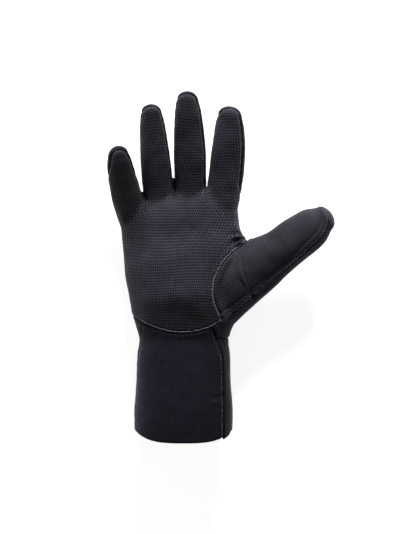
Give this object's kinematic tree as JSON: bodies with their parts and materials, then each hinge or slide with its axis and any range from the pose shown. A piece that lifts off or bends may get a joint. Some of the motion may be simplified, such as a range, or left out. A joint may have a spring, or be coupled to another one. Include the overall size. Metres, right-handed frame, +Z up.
{
  "type": "diving glove",
  "caption": "Five-finger diving glove of thick neoprene for the right hand, with a long cuff and a textured palm; hollow, lying palm up.",
  "frame": {"origin": "on the flat underside of the back of the hand, where the glove rests, under the middle of the palm", "axes": "+Z up out of the palm, +Y from the cuff to the fingertips, +X towards the thumb"},
  "size_m": [0.1956, 0.3006, 0.0527],
  "materials": {
    "grip_palm": "matt black grip fabric with a fine raised grid, over foam neoprene",
    "grip_thumb": "matt black grip fabric with a finer grain, over foam neoprene",
    "smooth_nylon": "matt blue-black nylon jersey over foam neoprene"
  },
  "bodies": {
    "root": {"palm_panel": "grip_palm", "thumb_panel": "grip_thumb", "back_panel": "smooth_nylon", "cuff_front_panel": "smooth_nylon", "cuff_back_panel": "smooth_nylon"}
  },
  "joints": []
}
